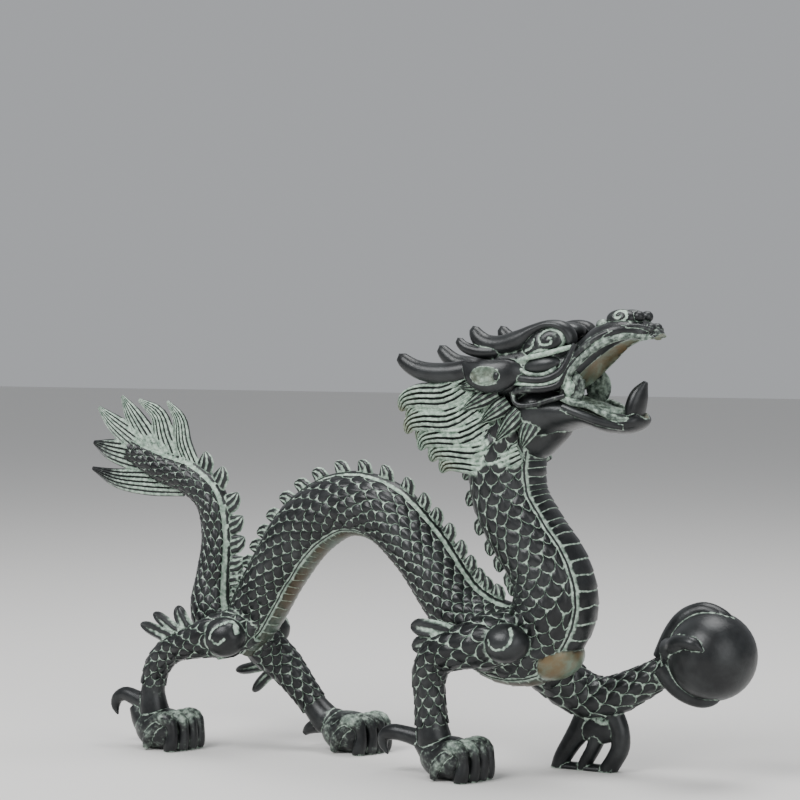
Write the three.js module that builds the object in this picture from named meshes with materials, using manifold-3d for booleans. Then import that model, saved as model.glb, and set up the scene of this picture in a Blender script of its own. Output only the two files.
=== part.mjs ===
// A walking dragon, cast hollow in bronze as one piece.
// It stands on three clawed feet and on the tuft of its raised left elbow, and holds a pearl in that paw.
// Millimetres, +Z up, +X towards the head, +Y the dragon's left side.
// The origin is on the ground, at the middle of the plan.
import * as THREE from 'three';
import { mergeVertices } from 'three/addons/utils/BufferGeometryUtils.js';
import Module from 'manifold-3d';

const wasm = await Module();
wasm.setup();

// Driving dimensions
const HEAD_HALF_WIDTH = 22;
const LIP_HALF_WIDTH = 18;
const FRONT_LEG_Y = -26;
const NEAR_REAR_LEG_Y = -22;
const FAR_REAR_LEG_Y = 19;
const ARM_Y = 32;
const PEARL_RADIUS = 22.8;
const PEARL_CENTRE = [161.5, ARM_Y, 63];
const TOE_RADIUS = 3.7;
const TOE_SPACING = 6.1;
const SPINE_LEAF_PITCH = 9.3;
const SPINE_LEAF_LEAN = 3.5;
const SPINE_RIDGE_HEIGHT = 1;
const TRUNK_SECTION = [0, 11, 52, 92, 136, 180, -136, -92, -52, -11];
const FIN_HALF_THICKNESS = 3.2;
const BRONZE = { color: 0x1d1f1c, roughness: 0.42, metalness: 0.8 };

// The trunk's centre lines, x, z and radius, and the stretch of each whose back carries leaves, in millimetres.
// The back rises from the chest into an arch, and the tail rises from the haunches.
const TRUNK = {
  neck: {
    line: [
      [66, 176, 19], [63, 160, 19.6], [65, 140, 19.2], [76, 121, 19.4], [88, 103, 20.2], [90, 86, 21.5],
      [82, 70, 20],
    ],
    leavesFrom: 12,
    leavesTo: 80,
    leafHeight: 6,
  },
  back: {
    line: [
      [98, 72, 15], [82, 68, 21.5], [62, 67, 20.5], [38, 81, 16.6], [12, 113, 15.8], [-10, 131, 16.4],
      [-33, 134, 16.8], [-56, 121, 17], [-74, 98, 15.6], [-90, 72, 14.6], [-101, 58, 11],
    ],
    leavesFrom: 54,
    leavesTo: 252,
    leafHeight: 6.4,
  },
  tail: {
    line: [
      [-107, 54, 9], [-113, 64, 13], [-117, 76, 12.4], [-117, 91, 10.2], [-115, 113, 8.2], [-118, 134, 8.6],
      [-132, 144, 8.6], [-152, 150, 8], [-170, 159, 5.5],
    ],
    leavesFrom: 22,
    leavesTo: 97,
    leafHeight: 8.6,
  },
};

// Each limb from inside the trunk to the ankle or wrist: x, y, z, radius.
const NEAR_FRONT_LEG = [
  [72, -12, 72, 13], [60, -22, 69, 13.4], [49, FRONT_LEG_Y, 66, 10.6], [37, FRONT_LEG_Y, 61, 9.4],
  [32, FRONT_LEG_Y, 51, 8.3], [33, FRONT_LEG_Y, 40, 7.3], [35, FRONT_LEG_Y, 24, 8.6], [37, FRONT_LEG_Y, 12, 9],
];
const NEAR_REAR_LEG = [
  [-92, -6, 66, 11], [-103, -19, 62, 11.4], [-115, NEAR_REAR_LEG_Y, 58, 8.2], [-128, NEAR_REAR_LEG_Y, 54, 6.9],
  [-137, NEAR_REAR_LEG_Y, 46, 6.5], [-141, NEAR_REAR_LEG_Y, 36, 6.2], [-141, NEAR_REAR_LEG_Y, 22, 7.4],
  [-139, NEAR_REAR_LEG_Y, 12, 8.4],
];
const FAR_REAR_LEG = [
  [-96, 6, 66, 11], [-93, 14, 54, 11], [-84, FAR_REAR_LEG_Y, 44, 9.8], [-74, FAR_REAR_LEG_Y, 34, 7.9],
  [-65, FAR_REAR_LEG_Y, 25, 6.9], [-57, FAR_REAR_LEG_Y, 17, 7.6], [-51, FAR_REAR_LEG_Y, 11, 8],
];
const RAISED_ARM = [
  [74, 10, 62, 14], [79, 22, 50, 13], [91, 30, 39, 11.6], [104, ARM_Y, 38, 10.4],
  [118, ARM_Y, 44, 8.9], [131, ARM_Y, 51, 7.4], [142, ARM_Y, 57, 7.2], [152, ARM_Y, 61, 8],
];

// Feet: the middle of the ankle, and the spur that hooks down behind the heel as x, z and radius.
const FEET = [
  { x: 38, y: FRONT_LEG_Y, spur: [[30, 18, 5], [19, 20.3, 4.4], [10.5, 20.8, 4.1], [5.6, 17, 3], [8, 9.3, 0.6]] },
  {
    x: -141,
    y: NEAR_REAR_LEG_Y,
    spur: [[-143, 22, 5.5], [-153, 25.5, 4.5], [-160, 27.2, 4], [-166, 23, 3], [-165, 15.5, 0.6]],
  },
  { x: -48, y: FAR_REAR_LEG_Y, spur: [[-56, 14, 6], [-63, 12, 4.4], [-68, 9.5, 3], [-70.5, 7.2, 1.6]] },
];
const TOE_FRONTS = [18, 21, 22.5, 22.8];

// The hairs at the joints, each prong a row of x, z and half-width.
const ELBOW_HAIRS = [
  [[45, 72, 5.2], [37, 74, 4.6], [29, 75.2, 4], [21.8, 76, 3]],
  [[43, 68.5, 5], [35, 68, 4.9], [28, 66.6, 4.6], [21.4, 64.6, 3.8]],
];
const NEAR_HAUNCH_HAIRS = [
  [[-119, 57, 4.4], [-130, 60.5, 3.8], [-139, 63.4, 3.3], [-148, 66.4, 2.6]],
  [[-118, 59, 4.4], [-127, 63.7, 3.8], [-134.4, 68.4, 3.3], [-141, 72.4, 2.6]],
  [[-116, 60, 4.6], [-121.5, 66.2, 4.3], [-124.8, 71.4, 4], [-126.4, 77.4, 3.2]],
];
const FAR_HAUNCH_HAIRS = [
  [[-88, 46, 4.4], [-97, 42.5, 3.7], [-106, 40, 3.3], [-114.4, 38.4, 2.6]],
  [[-87, 42, 4.4], [-94, 37.5, 3.6], [-100, 32, 3.3], [-104.6, 27, 2.4]],
];

// The head's masses along its length: x, z, half-width, half-height.
const SKULL = [
  [46, 198, 14, 12], [60, 203, 20, 17], [76, 206, HEAD_HALF_WIDTH, 18], [90, 209, HEAD_HALF_WIDTH - 1, 17],
  [101, 209, 20, 15], [110, 212, LIP_HALF_WIDTH, 10], [122, 222, LIP_HALF_WIDTH - 1, 8],
  [134, 226, 15, 5.5], [143, 223, 12, 4.5], [148, 219, 8, 3],
];
const JAW = [
  [70, 188, 17, 14], [84, 186, 20.5, 14], [97, 185, LIP_HALF_WIDTH + 1.5, 10.5], [110, 184, LIP_HALF_WIDTH - 1, 7],
  [123, 180, 15, 6], [133, 180, 12, 5], [140, 184, 8, 4],
];
// The hollow of the open mouth, a wedge that widens towards its front.
const MOUTH = [
  [103, 195, 9, 1], [109, 198, 12, 4.5], [118, 202, 13.5, 11.5], [130, 202, 13.5, 18], [146, 202, 15, 21],
];

// The mane falls behind the jaw in rows of locks, from the top of the nape to the throat.
const MANE_ROWS = 6;
const MANE_ROOTS = [[52, 200], [54, 188], [61, 180], [69, 171.5], [78, 164.5]];
const MANE_TIPS = [[6.5, 185.5], [9.5, 174], [17, 165.6], [23, 160], [28.5, 154.4]];

// Lobes of the tail fin: the root, the bend and the tip, as x and z, and the half-width.
const FIN_LOBES = [
  { points: [[-130, 149], [-137, 163], [-139, 176], [-146, 185]], half: 6.5 },
  { points: [[-142, 152], [-150, 166], [-153, 178], [-166, 186]], half: 8.5 },
  { points: [[-154, 156], [-163, 168], [-170, 179], [-177, 188]], half: 7.5 },
  { points: [[-158, 158], [-172, 166], [-183, 174], [-193, 182]], half: 7.5 },
  { points: [[-155, 154], [-172, 156], [-185, 159], [-196, 164]], half: 8 },
  { points: [[-136, 141], [-158, 141], [-180, 142], [-199, 149]], half: 7.5 },
];
const FIN_TAPER = [0.9, 1, 0.75, 0.08];

/** A tube along stations of x, y, z, half-width across and half-height in the plane of the bend. */
function sweep(stations, { sides = 8, rings = 8, domed = false } = {}) {
  const path = new THREE.CatmullRomCurve3(stations.map(([x, y, z]) => new THREE.Vector3(x, y, z)));
  const sizes = new THREE.CatmullRomCurve3(
    stations.map(([, , , across, inPlane = across]) => new THREE.Vector3(across, inPlane, 0)),
    false,
    'catmullrom',
  );
  const points = [];
  for (let ring = 0; ring <= rings; ring += 1) {
    const t = ring / rings;
    const centre = path.getPoint(t);
    const tangent = path.getTangent(t);
    const across = new THREE.Vector3(0, 1, 0).addScaledVector(tangent, -tangent.y).normalize();
    const upward = new THREE.Vector3().crossVectors(across, tangent);
    const size = sizes.getPoint(t);
    const reach = Math.min(t, 1 - t) * path.getLength() / Math.max(size.y, 1);
    const dome = domed && reach < 1 ? Math.sqrt(1 - (1 - reach) ** 2) : 1;
    for (let side = 0; side < sides; side += 1) {
      const angle = (side / sides) * 2 * Math.PI;
      const point = centre.clone()
        .addScaledVector(across, Math.max(size.x * dome, 0.05) * Math.cos(angle))
        .addScaledVector(upward, Math.max(size.y * dome, 0.05) * Math.sin(angle));
      points.push(point);
    }
  }
  return closedTube(points, sides, path.getPoint(0), path.getPoint(1));
}

/** Rings of points as a closed tube, each end drawn to one point. */
function closedTube(points, sides, first, last) {
  const rings = points.length / sides;
  const index = [];
  for (let ring = 0; ring < rings - 1; ring += 1) {
    for (let side = 0; side < sides; side += 1) {
      const next = (side + 1) % sides;
      const a = ring * sides + side;
      const b = ring * sides + next;
      index.push(a, a + sides, b, b, a + sides, b + sides);
    }
  }
  const firstIndex = points.length;
  const lastIndex = firstIndex + 1;
  const lastRing = (rings - 1) * sides;
  for (let side = 0; side < sides; side += 1) {
    const next = (side + 1) % sides;
    index.push(firstIndex, side, next);
    index.push(lastIndex, lastRing + next, lastRing + side);
  }
  const geometry = new THREE.BufferGeometry().setFromPoints([...points, first, last]);
  geometry.setIndex(index);
  return solid(geometry);
}

/** An ellipsoid at a centre, leaning about the Y axis by some degrees. */
function ellipsoid(centre, radii, { lean = 0, detail = 8 } = {}) {
  const geometry = new THREE.SphereGeometry(1, detail, Math.round(detail * 0.7));
  geometry.scale(...radii);
  geometry.rotateY(THREE.MathUtils.degToRad(-lean));
  geometry.translate(...centre);
  return solid(geometry);
}

/** A closed geometry as a solid that can be joined and cut. */
function solid(geometry) {
  geometry.deleteAttribute('normal');
  geometry.deleteAttribute('uv');
  const merged = mergeVertices(geometry, 1e-4);
  return new wasm.Manifold(new wasm.Mesh({
    numProp: 3,
    vertProperties: Float32Array.from(merged.attributes.position.array),
    triVerts: Uint32Array.from(merged.index.array),
  }));
}

/** A solid back as a geometry to show. */
function shown(body) {
  const { vertProperties, triVerts } = body.getMesh();
  const geometry = new THREE.BufferGeometry();
  geometry.setAttribute('position', new THREE.BufferAttribute(vertProperties, 3));
  geometry.setIndex(new THREE.BufferAttribute(triVerts, 1));
  return geometry;
}

const join = (bodies) => bodies.reduce((whole, body) => whole.add(body));
const bothSides = (make) => [make(-1), make(1)];

/** The point at a share of the way along a row of [x, z] points. */
function along(row, share) {
  const curve = new THREE.CatmullRomCurve3(row.map(([x, z]) => new THREE.Vector3(x, 0, z)));
  return curve.getPoint(share);
}

/** A stretch of trunk, round, with its back drawn out into a row of leaves that lean towards the tail. */
function trunk({ line, leavesFrom, leavesTo, leafHeight }) {
  const curve = new THREE.CatmullRomCurve3(line.map(([x, z]) => new THREE.Vector3(x, 0, z)));
  const sizes = new THREE.CatmullRomCurve3(line.map(([, , radius]) => new THREE.Vector3(radius, 0, 0)));
  const length = curve.getLength();
  const rings = 2 * Math.round(length / SPINE_LEAF_PITCH);
  const across = new THREE.Vector3(0, 1, 0);
  const points = [];
  for (let ring = 0; ring <= rings; ring += 1) {
    const share = curve.getUtoTmapping(ring / rings);
    const centre = curve.getPoint(share);
    const tangent = curve.getTangent(share);
    const outward = new THREE.Vector3().crossVectors(across, tangent);
    const radius = sizes.getPoint(share).x;
    const reached = length * ring / rings;
    const isLeaf = ring % 2 === 1 && reached > leavesFrom && reached < leavesTo;
    const rise = isLeaf ? leafHeight : SPINE_RIDGE_HEIGHT;
    TRUNK_SECTION.forEach((degrees) => {
      const angle = THREE.MathUtils.degToRad(degrees);
      const reach = degrees === 0 ? radius + rise : radius;
      const lean = degrees === 0 && isLeaf ? SPINE_LEAF_LEAN : 0;
      points.push(centre.clone()
        .addScaledVector(outward, reach * Math.cos(angle))
        .addScaledVector(across, -reach * Math.sin(angle))
        .addScaledVector(tangent, lean));
    });
  }
  return closedTube(points, TRUNK_SECTION.length, curve.getPoint(0), curve.getPoint(1));
}

/** A clenched foot: a palm, four toes side by side that curl to the ground, a thumb, and a spur behind the heel. */
function foot({ x, y, spur }) {
  const palm = sweep([
    [x - 10, y, 7, 8, 8], [x - 4, y, 8.8, 10.6, 10.5], [x + 4, y, 9.6, 12, 11], [x + 12, y, 9.2, 12.4, 10.6],
    [x + 20, y, 8, 12, 8.6],
  ], { sides: 8, rings: 5, domed: true });
  const [[, rootZ]] = spur;
  const heel = sweep([
    [x - 12, y, rootZ - 0.5, 4.2], [x - 6, y, 15, 7.8], [x, y, 11.5, 9.8], [x + 5, y, 10, 8],
  ], { sides: 6, rings: 3 });
  const thumb = sweep([
    [x + 15, y - 8.5, 18, 2.8], [x + 9.5, y - 10.8, 13.4, 3.2], [x + 4, y - 11.3, 7, 3.3], [x + 1.5, y - 11, 1, 2.6],
  ], { sides: 5, rings: 2 });
  const toes = TOE_FRONTS.map((front, order) => {
    const toeY = y - 9 + order * TOE_SPACING;
    return sweep([
      [x + front - 16, toeY, 17, TOE_RADIUS], [x + front - 7, toeY, 17.6, TOE_RADIUS],
      [x + front - 1, toeY, 15, TOE_RADIUS], [x + front + 0.4, toeY, 8, TOE_RADIUS],
      [x + front - 2, toeY, -1.5, TOE_RADIUS * 0.8],
    ], { sides: 5, rings: 3 });
  });
  const hook = sweep(spur.map(([spurX, spurZ, radius]) => [spurX, y, spurZ, radius]), { sides: 5, rings: 4 });
  return [palm, heel, thumb, ...toes, hook];
}

/** Blunt flame-like hairs that sweep back from a joint, side by side. */
function tuft(prongs, y, thick) {
  return prongs.map((prong, order) => {
    const lean = (order - (prongs.length - 1) / 2) * 2.2;
    return sweep(prong.map(([x, z, half]) => [x, y + lean, z, thick, half]), { sides: 5, rings: 2 });
  });
}

/** The legs, the raised arm, the bosses of the shoulder and haunch, and the hairs at the joints. */
function limbs() {
  const options = { sides: 8, rings: 8 };
  return [
    sweep(NEAR_FRONT_LEG, options),
    sweep(NEAR_REAR_LEG, options),
    sweep(FAR_REAR_LEG, options),
    sweep(RAISED_ARM, options),
    ...FEET.flatMap(foot),
    ...bothSides((side) => ellipsoid([75, side * 25, 70], [11.8, 11, 9.8], { detail: 7 })),
    ...bothSides((side) => ellipsoid([-95.3, side * 22, 62.3], [12.4, 10, 10.8], { detail: 7 })),
    ...tuft(ELBOW_HAIRS, FRONT_LEG_Y, 4.8),
    ...tuft(NEAR_HAUNCH_HAIRS, NEAR_REAR_LEG_Y, 4),
    ...tuft(FAR_HAUNCH_HAIRS, FAR_REAR_LEG_Y, 3.8),
  ];
}

/** The tuft of the raised elbow: a broad plate with two slots, whose prongs curl down to the ground. */
function elbowTuft() {
  const y = ARM_Y;
  const prong = (points) => sweep(points.map(([x, z, half]) => [x, y, z, 5, half]), { sides: 5, rings: 4 });
  return [
    prong([[95, 33, 7], [89, 21, 6.4], [83.5, 13, 5.2], [78.5, 5, 4.6], [76, -1, 4]]),
    prong([[100, 32, 6], [99, 20, 5], [96, 11, 3.7], [92, 4, 3.5], [90, -1, 3.4]]),
    prong([[105, 33, 6], [110.5, 22, 5.2], [111.2, 13, 4.9], [107.5, 5.5, 4.6], [103, -1, 4.6]]),
    sweep([[77, y, 0.6, 4.4, 2.8], [92, y, 0.6, 4.8, 2.8], [108, y, 0.6, 4.4, 2.8]], { sides: 6, rings: 2 }),
    ellipsoid([99, y, 22], [13, 5.8, 8.6], { detail: 7 }),
  ];
}

/** The pearl, the hand that holds it, and its claws over, under and on both sides. */
function pearl() {
  const [, y] = PEARL_CENTRE;
  const claw = (stations) => sweep(stations, { sides: 6, rings: 5 });
  return [
    ellipsoid(PEARL_CENTRE, [PEARL_RADIUS, PEARL_RADIUS, PEARL_RADIUS], { detail: 14 }),
    ellipsoid([144.5, y, 61], [10, 11, 12.5], { lean: 25 }),
    claw([
      [137, y, 60, 7], [140.5, y, 71, 6.6], [145.5, y, 78.5, 5.8], [151, y, 83, 5.4], [157.5, y, 85, 5.4],
      [165, y, 83, 4.4], [176, y, 75, 1],
    ]),
    claw([
      [138, y - 4, 56, 7], [145, y - 5, 47.5, 6], [151.5, y - 5, 43.3, 5.2], [158, y - 5, 41.4, 4.4],
      [169.5, y - 5, 45.4, 0.6],
    ]),
    claw([
      [143, y - 9, 66, 6], [149, y - 16, 69.5, 4.8], [155, y - 20, 71.5, 4], [161, y - 21.6, 70.8, 3.2],
      [165.8, y - 21.8, 68, 0.8],
    ]),
    claw([[143, y + 8.5, 66, 5.6], [149, y + 15, 69.5, 4.6], [156, y + 18.8, 71, 3.6], [165.4, y + 19, 68, 0.8]]),
  ];
}

/** The flame fin that ends the tail. */
function tailFin() {
  const web = ellipsoid([-158, 0, 156], [18, FIN_HALF_THICKNESS, 12], { lean: -25, detail: 8 });
  const lobes = FIN_LOBES.map(({ points, half }) => sweep(points.map(([x, z], place) => {
    const taper = FIN_TAPER[place];
    return [x, 0, z, FIN_HALF_THICKNESS * Math.min(1, taper + 0.1), half * taper];
  }), { sides: 5, rings: 5 }));
  return [web, ...lobes];
}

/** The mane: rows of flat locks on each side over a full core. */
function mane() {
  const core = sweep([
    [66, 0, 187, 17, 20], [48, 0, 182, 17, 20], [32, 0, 177, 13, 17], [18, 0, 175, 6, 9],
  ], { sides: 8, rings: 4 });
  const locks = [];
  for (let row = 0; row < MANE_ROWS; row += 1) {
    const share = row / (MANE_ROWS - 1);
    const root = along(MANE_ROOTS, share);
    const tip = along(MANE_TIPS, share);
    const at = (part, bend, y, across, inPlane) => [
      THREE.MathUtils.lerp(root.x, tip.x, part), y, THREE.MathUtils.lerp(root.z, tip.z, part) + bend, across, inPlane,
    ];
    const out = 18.5 - 3 * share;
    locks.push(...bothSides((side) => sweep([
      at(0, 0, side * (out - 1.5), 3.6, 5.4), at(0.3, -2.8, side * (out + 0.6), 4.6, 7),
      at(0.68, 1.8, side * (out - 1.8), 4.8, 6.6), at(0.9, 2.4, side * (out - 5.5), 4.2, 4.8),
      at(1, -1.6, side * (out - 8), 3, 3.2),
    ], { sides: 4, rings: 3 })));
  }
  return [core, ...locks];
}

/** Horn, ear, brow, eye, lips and nostril, for one side of the head. */
function faceSide(side) {
  const ridge = (points, options) => sweep(
    points.map(([x, y, z, across, inPlane]) => [x, side * y, z, across, inPlane ?? across]),
    options,
  );
  const horn = ridge([
    [54, 16, 206, 5.8], [42, 18, 203.8, 5.6], [29, 19, 203.8, 5.2], [20, 19, 206, 4.6], [10.4, 19, 213.4, 2.6],
  ], { sides: 6, rings: 5 });
  const ear = ridge([
    [80, 20, 204, 3, 3], [68, 23, 203, 4.5, 8], [58, 24, 204, 4, 7], [48, 24, 211, 1, 1],
  ], { sides: 5, rings: 4 });
  const brow = ridge([
    [104, 12, 220, 5, 4], [95, 14, 226, 6, 5], [82, 15, 224, 6, 5.5], [68, 15, 219, 5, 5],
    [59, 15.5, 218.6, 4.8, 4.8], [54, 15.3, 222.4, 4, 4], [51, 15, 228, 2.2, 2.2],
  ], { sides: 5, rings: 8 });
  const browTip = ridge([
    [66, 17, 216, 3, 3.4], [54, 18, 215.5, 3.2, 3.2], [43.8, 18, 221.6, 1.9, 1.9],
  ], { sides: 4, rings: 3 });
  const eye = ellipsoid([91, side * 18, 208], [11, 5, 5], { lean: 10, detail: 6 });
  const lowerLip = ridge([
    [102, 16, 194, 3, 2.4], [110, 16.5, 190.5, 2.6, 2.4], [122, 14.5, 185, 2.4, 2.4], [134, 10, 181, 2.4, 2.4],
  ], { sides: 5, rings: 4 });
  const upperLip = ridge([
    [103, 16.5, 195, 3, 3], [107, 17.5, 202, 3, 3.4], [115, 17.5, 210, 2.8, 3.6], [124, 16, 218, 2.6, 3],
    [134, 13, 221.5, 2.6, 2.6], [145, 7, 219.5, 2.4, 2.4],
  ], { sides: 5, rings: 6 });
  const nostril = ellipsoid([127, side * 6.5, 231], [6, 5, 5.5], { detail: 6 });
  return [horn, ear, brow, browTip, eye, lowerLip, upperLip, nostril];
}

/** The head, raised and roaring, with its mouth hollowed out. */
function head() {
  const stations = (rows) => rows.map(([x, z, across, inPlane]) => [x, 0, z, across, inPlane]);
  const masses = [
    sweep(stations(SKULL), { sides: 10, rings: 10, domed: true }),
    sweep(stations(JAW), { sides: 10, rings: 7, domed: true }),
    ...bothSides(faceSide).flat(),
    ellipsoid([146, 0, 224], [4.5, 6, 4], { detail: 6 }),
  ];
  const cavity = sweep(stations(MOUTH), { sides: 8, rings: 5 });
  const lowerLipTip = sweep([
    [133, 0, 182, 7, 3.5], [138, 0, 190, 7, 2.6], [141, 0, 196, 4.5, 2], [143, 0, 203, 0.5, 0.5],
  ], { sides: 6, rings: 4 });
  return [join(masses).subtract(cavity), lowerLipTip];
}

/** Everything below the ground is cut away, so that the soles are flat. */
function cutFlat(body) {
  const ground = new THREE.BoxGeometry(600, 400, 50);
  ground.translate(0, 0, -25);
  return body.subtract(solid(ground));
}

const casting = cutFlat(join([
  ...Object.values(TRUNK).map(trunk), ...limbs(), ...elbowTuft(), ...pearl(), ...tailFin(), ...mane(), ...head(),
]));
const geometry = shown(casting);
geometry.computeBoundingBox();
const { min, max } = geometry.boundingBox;
geometry.translate(-(min.x + max.x) / 2, -(min.y + max.y) / 2, -min.z);

const dragon = new THREE.Mesh(geometry, new THREE.MeshStandardMaterial(BRONZE));
dragon.name = 'dragon';

const group = new THREE.Group();
group.add(dragon);

export default group;
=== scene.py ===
"""A cast bronze dragon with a dark skin and pale verdigris in its hollows.

The casting is built from closed forms in modelling millimetres, with the head towards +X and the ground at z = 0.
The forms are joined into one watertight surface, which is then placed in the CAD frame.
"""

import math

import bmesh
import bpy
import numpy as np
from bpy.props import FloatProperty, FloatVectorProperty, PointerProperty
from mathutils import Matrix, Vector


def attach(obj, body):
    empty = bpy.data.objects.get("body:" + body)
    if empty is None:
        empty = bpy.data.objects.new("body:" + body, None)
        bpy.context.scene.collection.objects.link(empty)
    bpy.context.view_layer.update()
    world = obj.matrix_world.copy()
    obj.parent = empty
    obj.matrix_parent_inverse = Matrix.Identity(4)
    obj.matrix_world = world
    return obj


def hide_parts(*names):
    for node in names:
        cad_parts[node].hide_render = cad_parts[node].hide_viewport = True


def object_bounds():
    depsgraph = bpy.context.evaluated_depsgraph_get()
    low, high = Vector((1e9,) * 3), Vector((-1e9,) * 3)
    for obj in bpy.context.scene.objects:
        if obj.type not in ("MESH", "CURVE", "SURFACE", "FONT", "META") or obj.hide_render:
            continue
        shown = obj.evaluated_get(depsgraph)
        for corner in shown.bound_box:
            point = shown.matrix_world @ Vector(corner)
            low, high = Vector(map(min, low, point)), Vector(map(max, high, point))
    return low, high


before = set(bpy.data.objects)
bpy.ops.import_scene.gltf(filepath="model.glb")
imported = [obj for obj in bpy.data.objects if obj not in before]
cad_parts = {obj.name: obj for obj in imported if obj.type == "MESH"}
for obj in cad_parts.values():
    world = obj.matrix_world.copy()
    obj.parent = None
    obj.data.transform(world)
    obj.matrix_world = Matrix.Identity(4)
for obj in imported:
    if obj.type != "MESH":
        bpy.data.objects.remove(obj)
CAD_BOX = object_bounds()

bl_info = {
    "name": "Bronze Dragon",
    "version": (1, 0, 0),
    "blender": (4, 5, 0),
    "location": "3D View > Sidebar > Dragon",
    "description": "Builds a cast bronze dragon with fish scales, a flame fin and a verdigris patina",
    "category": "Object",
}

NODE = "dragon"
BODY = "root"
PIECE = "dragon_casting"

# The casting's length in modelling millimetres, and the modelling place of its box's low corner.
DESIGN_LENGTH = 383.5
MOST_CRUMB_FACES = 600
DESIGN_LOW = (-199.2, -39.91, 0.0)
MM = (CAD_BOX[1].x - CAD_BOX[0].x) / DESIGN_LENGTH

HEAD_HALF_WIDTH = 22.0
LIP_HALF_WIDTH = 18.0
FRONT_LEG_Y = -26.0
NEAR_REAR_LEG_Y = -22.0
FAR_REAR_LEG_Y = 19.0
ARM_Y = 32.0
PEARL_CENTRE = (161.5, ARM_Y, 63.0)
PEARL_RADIUS = 22.6

# Stretches of the trunk: centre line as x, z and radius, scales on each side, their pitch at both ends, the leafed
# stretch and the leaves' height against the common one.
TRUNK = {
    "neck": {
        "line": [
            (66, 176, 19), (63, 160, 19.4), (65, 140, 19), (76, 121, 19.2), (88, 103, 20), (90, 86, 21.3),
            (82, 70, 20),
        ],
        "per_side": 5.0,
        "pitch": (5.9, 4.6),
        "leaves": (14, 82),
        "leaf_share": 0.95,
        "belly_warmth": 0.0,
    },
    "back": {
        "line": [
            (93, 71, 13.5), (80, 68, 20.5), (62, 67, 20.3), (38, 81, 16.4), (12, 113, 15.6), (-10, 131, 16),
            (-33, 133.5, 16.4), (-56, 121, 16.8), (-74, 98, 15.4), (-90, 72, 14.4), (-101, 58, 11),
        ],
        "per_side": 5.0,
        "pitch": (4.8, 4.9),
        "leaves": (50, 252),
        "leaf_share": 1.0,
        "belly_warmth": 0.4,
    },
    "tail": {
        "line": [
            (-107, 54, 9), (-113, 64, 12.8), (-117, 76, 12.2), (-116, 91, 10), (-114, 113, 8.4), (-118, 133, 8.6),
            (-131, 144, 8.6), (-150, 150, 8.2), (-166, 157, 6.4),
        ],
        "per_side": 3.5,
        "pitch": (4.6, 4.1),
        "leaves": (22, 97),
        "leaf_share": 1.4,
        "belly_warmth": 0.0,
    },
}
BELLY_HALF_ANGLE = 40.0
BELLY_BORDER_ANGLE = 6.0
RIDGE_HALF_WIDTH = 4.0
RIDGE_GROOVE_WIDTH = 2.0
LEAF_SPACING = 9.3

# Limbs from inside the trunk to the foot: x, y, z, radius; then the width and pitch of their scales.
LIMBS = {
    "near_front_leg": {
        "line": [
            (72, -12, 72, 12.8), (60, -22, 69, 13.2), (49, FRONT_LEG_Y, 66, 10.4), (37, FRONT_LEG_Y, 61, 9.4),
            (32, FRONT_LEG_Y, 51, 8.4), (32.5, FRONT_LEG_Y, 40, 7.6), (34, FRONT_LEG_Y, 24, 8.4),
            (37, FRONT_LEG_Y, 12, 9.4),
        ],
        "scale": (7.6, 4.9),
        "ankle": 25.5,
    },
    "near_rear_leg": {
        "line": [
            (-92, -6, 66, 11), (-103, -19, 62, 11.2), (-115, NEAR_REAR_LEG_Y, 58, 8.3),
            (-128, NEAR_REAR_LEG_Y, 54, 7.2), (-137, NEAR_REAR_LEG_Y, 46, 6.8), (-141, NEAR_REAR_LEG_Y, 36, 6.4),
            (-141, NEAR_REAR_LEG_Y, 22, 7.4), (-139, NEAR_REAR_LEG_Y, 12, 8.6),
        ],
        "scale": (7.2, 4.7),
        "ankle": 29.5,
    },
    "far_rear_leg": {
        "line": [
            (-96, 6, 66, 11), (-93, 14, 54, 10.8), (-84, FAR_REAR_LEG_Y, 44, 9.6), (-74, FAR_REAR_LEG_Y, 34, 8),
            (-66, FAR_REAR_LEG_Y, 25, 7.2), (-58, FAR_REAR_LEG_Y, 17, 7.6), (-51, FAR_REAR_LEG_Y, 11, 8.2),
        ],
        "scale": (7.2, 4.9),
        "ankle": 21.0,
    },
    "raised_arm": {
        "line": [
            (74, 10, 62, 13.8), (79, 22, 50, 12.8), (91, 30, 39, 11.4), (104, ARM_Y, 38, 10.2),
            (118, ARM_Y, 44, 8.8), (131, ARM_Y, 51, 7.6), (142, ARM_Y, 57, 7.4), (152, ARM_Y, 61, 8),
        ],
        "scale": (8.6, 6.2),
        "ankle": None,
    },
}

# Feet: the middle of the ankle, and the heel's spur as x, z and radius.
FEET = [
    {"x": 38, "y": FRONT_LEG_Y,
     "spur": [(30, 18, 5), (19, 20.3, 4.3), (10.5, 20.8, 4.1), (5.6, 18.5, 3.2), (5.2, 14, 2.3), (8, 9.3, 0.5)]},
    {"x": -141, "y": NEAR_REAR_LEG_Y,
     "spur": [(-143, 22, 5.5), (-153, 25.5, 4.4), (-160, 27.2, 3.9), (-165.3, 24.5, 3.2), (-166.6, 20, 2.4),
              (-165, 15.5, 0.5)]},
    {"x": -48, "y": FAR_REAR_LEG_Y, "spur": [(-56, 14, 6), (-63, 12, 4.4), (-68, 9.5, 3), (-70.5, 7.2, 1.6)]},
]
TOE_RADIUS = 3.5

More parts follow.
